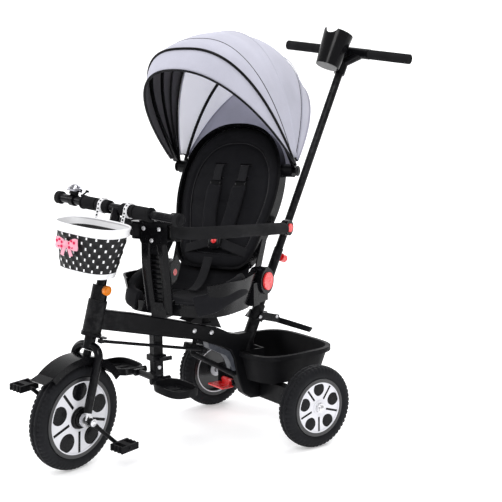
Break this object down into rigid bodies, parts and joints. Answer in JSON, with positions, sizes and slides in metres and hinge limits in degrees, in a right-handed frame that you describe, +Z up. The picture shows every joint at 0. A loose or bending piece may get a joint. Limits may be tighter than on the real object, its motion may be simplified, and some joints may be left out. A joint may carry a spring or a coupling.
{
  "type": "children's tricycle",
  "caption": "Parent-steered children's tricycle with a swivelling reclining seat, guard arms, folding canopy, push handle, front basket and rear storage tub.",
  "frame": {"origin": "on the ground, at the middle of the footprint box of the resting tricycle", "axes": "+Z up, the tricycle faces -Y, the child's left is +X"},
  "size_m": [0.5244, 1.0486, 1.0535],
  "materials": {
    "black_paint": "matte",
    "black_tube": "gloss",
    "black_plastic": "gloss",
    "matte_plastic": "matte",
    "grey_plastic": "satin",
    "rubber_tyre": "matte",
    "rim_silver": "satin",
    "steel": "polished",
    "foam": "matte",
    "red_plastic": "gloss",
    "orange_lens": "gloss",
    "white_plastic": "satin",
    "weave": "woven",
    "pink_cloth": "matte",
    "black_fabric": "matte",
    "canopy_fabric": "satin"
  },
  "bodies": {
    "frame": {"head_tube": "black_paint", "main_tube": "black_paint", "rear_beam": "black_paint", "rear_axle": "steel", "rod_socket": "black_paint", "seat_bracket": "black_paint", "storage_basin": "matte_plastic", "gusset_cover": "grey_plastic", "footrest_post": "black_paint", "rear_pad_bracket": "black_tube"},
    "foot_left": {"footrest_left": "matte_plastic"},
    "foot_right": {"footrest_right": "matte_plastic"},
    "rear_seat": {"rear_pad": "matte_plastic"},
    "front_end": {"fork": "black_tube", "hub_brackets": "steel", "mudguard": "black_plastic", "handlebar": "black_tube", "grips": "foam", "reflector": "orange_lens", "bell_base": "black_plastic", "bell_dome": "steel", "basket_body": "weave", "basket_rim": "white_plastic", "basket_straps": "white_plastic", "basket_bow": "pink_cloth"},
    "bell_thumb": {"bell_lever": "black_plastic"},
    "front_wheel": {"front_tyre": "rubber_tyre", "front_rim": "rim_silver"},
    "crankset": {"crank": "black_paint"},
    "pedal_l": {"pedal_left": "matte_plastic"},
    "pedal_r": {"pedal_right": "matte_plastic"},
    "wheel_left": {"rear_tyre_left": "rubber_tyre", "rear_rim_left": "rim_silver"},
    "wheel_right": {"rear_tyre_right": "rubber_tyre", "rear_rim_right": "rim_silver"},
    "brake": {"brake_pedal": "red_plastic"},
    "link": {"link_rod": "black_paint"},
    "idler": {"idler_ring": "matte_plastic"},
    "push_turner": {"push_tube_lower": "black_paint"},
    "push_slider": {"push_tube_upper": "black_paint", "t_handle": "black_plastic", "t_grips": "foam", "cup_holder": "black_plastic"},
    "knob": {"lock_knob": "red_plastic"},
    "seat": {"seat_pan": "black_plastic", "seat_pad": "black_fabric", "guard_post": "black_plastic"},
    "back": {"seat_back_shell": "black_plastic", "seat_back_pad": "black_fabric", "harness": "black_fabric", "canopy_rear": "canopy_fabric"},
    "canopy": {"canopy_front": "canopy_fabric"},
    "recline_l": {"recline_button_left": "red_plastic"},
    "recline_r": {"recline_button_right": "red_plastic"},
    "guard_l": {"guard_arm_left": "foam", "guard_cap_left": "black_plastic"},
    "guard_r": {"guard_arm_right": "foam", "guard_cap_right": "black_plastic"},
    "release_l": {"guard_button_left": "red_plastic"},
    "release_r": {"guard_button_right": "red_plastic"}
  },
  "joints": [
    {"name": "steer", "type": "hinge", "parent": "frame", "child": "front_end", "pos_m": [0.00634, -0.34225, 0.33], "axis": [0, 0.2622, 0.965], "range_deg": [-36, 4]},
    {"name": "bell_press", "type": "hinge", "parent": "front_end", "child": "bell_thumb", "pos_m": [-0.12399, -0.28643, 0.64229], "axis": [0, 0.2622, 0.965], "range_deg": [0, 16], "stiffness_Nm_per_rad": 0.02, "springref_deg": -17.19},
    {"name": "front_wheel_spin", "type": "hinge", "parent": "front_end", "child": "front_wheel", "pos_m": [0.00632, -0.39625, 0.131], "axis": [0.9613, 0.266, -0.0723], "continuous": true},
    {"name": "crank_spin", "type": "hinge", "parent": "front_end", "child": "crankset", "pos_m": [0.00632, -0.39625, 0.131], "axis": [0.9613, 0.266, -0.0723], "continuous": true},
    {"name": "pedal_left_spin", "type": "hinge", "parent": "crankset", "child": "pedal_l", "pos_m": [0.08141, -0.30435, 0.05659], "axis": [0.9613, 0.266, -0.0723], "continuous": true},
    {"name": "pedal_right_spin", "type": "hinge", "parent": "crankset", "child": "pedal_r", "pos_m": [-0.06876, -0.48815, 0.20541], "axis": [0.9613, 0.266, -0.0723], "continuous": true},
    {"name": "rear_left_spin", "type": "hinge", "parent": "frame", "child": "wheel_left", "pos_m": [0.23534, 0.15775, 0.105], "axis": [1, 0, 0], "continuous": true},
    {"name": "rear_right_spin", "type": "hinge", "parent": "frame", "child": "wheel_right", "pos_m": [-0.22266, 0.15775, 0.105], "axis": [1, 0, 0], "continuous": true},
    {"name": "brake_press", "type": "hinge", "parent": "frame", "child": "brake", "pos_m": [-0.11566, 0.13675, 0.098], "axis": [1, 0, 0], "range_deg": [0, 12]},
    {"name": "link_swing", "type": "hinge", "parent": "front_end", "child": "link", "pos_m": [0.04095, -0.33674, 0.31244], "axis": [0, 0.2622, 0.965], "range_deg": [-5, 37]},
    {"name": "idler_turn", "type": "hinge", "parent": "frame", "child": "idler", "pos_m": [0.00634, -0.05325, 0.247], "axis": [0, 0.2622, 0.965], "range_deg": [-37, 5]},
    {"name": "push_turn", "type": "hinge", "parent": "frame", "child": "push_turner", "pos_m": [0.00634, 0.09935, 0.201], "axis": [0, 0.4179, 0.9085], "range_deg": [-37, 5]},
    {"name": "push_telescope", "type": "slide", "parent": "push_turner", "child": "push_slider", "axis": [0, 0.4179, 0.9085], "range_m": [0, 0.06]},
    {"name": "knob_pull", "type": "slide", "parent": "push_turner", "child": "knob", "axis": [-0.2756, 0.8733, -0.4017], "range_m": [0, 0.004], "stiffness_N_per_m": 400, "springref_m": -0.006},
    {"name": "seat_swivel", "type": "hinge", "parent": "frame", "child": "seat", "pos_m": [0.00634, -0.02925, 0.346], "axis": [0, 0, 1], "range_deg": [-114, 66]},
    {"name": "recline", "type": "hinge", "parent": "seat", "child": "back", "pos_m": [-0.0205, 0.03104, 0.417], "axis": [0.9135, 0.4067, 0], "range_deg": [0, 18]},
    {"name": "canopy_fold", "type": "hinge", "parent": "back", "child": "canopy", "pos_m": [-0.06931, 0.14067, 0.686], "axis": [0.9135, 0.4067, 0], "range_deg": [-36, 0]},
    {"name": "recline_button_left_press", "type": "slide", "parent": "seat", "child": "recline_l", "axis": [-0.9135, -0.4067, 0], "range_m": [0, 0.003], "stiffness_N_per_m": 150, "springref_m": -0.004},
    {"name": "recline_button_right_press", "type": "slide", "parent": "seat", "child": "recline_r", "axis": [0.9135, 0.4067, 0], "range_m": [0, 0.003], "stiffness_N_per_m": 150, "springref_m": -0.004},
    {"name": "guard_left_open", "type": "hinge", "parent": "seat", "child": "guard_l", "pos_m": [0.13397, -0.17822, 0.56], "axis": [0, 0, -1], "range_deg": [0, 8]},
    {"name": "guard_right_open", "type": "hinge", "parent": "seat", "child": "guard_r", "pos_m": [0.03165, -0.22377, 0.56], "axis": [0, 0, 1], "range_deg": [0, 8]},
    {"name": "release_left_press", "type": "slide", "parent": "guard_l", "child": "release_l", "axis": [-0.9135, -0.4067, 0], "range_m": [0, 0.003], "stiffness_N_per_m": 150, "springref_m": -0.004},
    {"name": "release_right_press", "type": "slide", "parent": "guard_r", "child": "release_r", "axis": [0.9135, 0.4067, 0], "range_m": [0, 0.003], "stiffness_N_per_m": 150, "springref_m": -0.004},
    {"name": "foot_left_fold", "type": "hinge", "parent": "frame", "child": "foot_left", "pos_m": [0.06434, -0.18925, 0.196], "axis": [0, -1, 0], "range_deg": [0, 80]},
    {"name": "foot_right_fold", "type": "hinge", "parent": "frame", "child": "foot_right", "pos_m": [-0.05166, -0.18925, 0.196], "axis": [0, 1, 0], "range_deg": [0, 80]},
    {"name": "rear_seat_fold", "type": "hinge", "parent": "frame", "child": "rear_seat", "pos_m": [0.00634, 0.19475, 0.288], "axis": [1, 0, 0], "range_deg": [0, 48]}
  ],
  "couplings": [
    {"joint": "link_swing", "follows": "steer", "ratio": -1},
    {"joint": "idler_turn", "follows": "steer", "ratio": 1},
    {"joint": "push_turn", "follows": "steer", "ratio": 1}
  ]
}
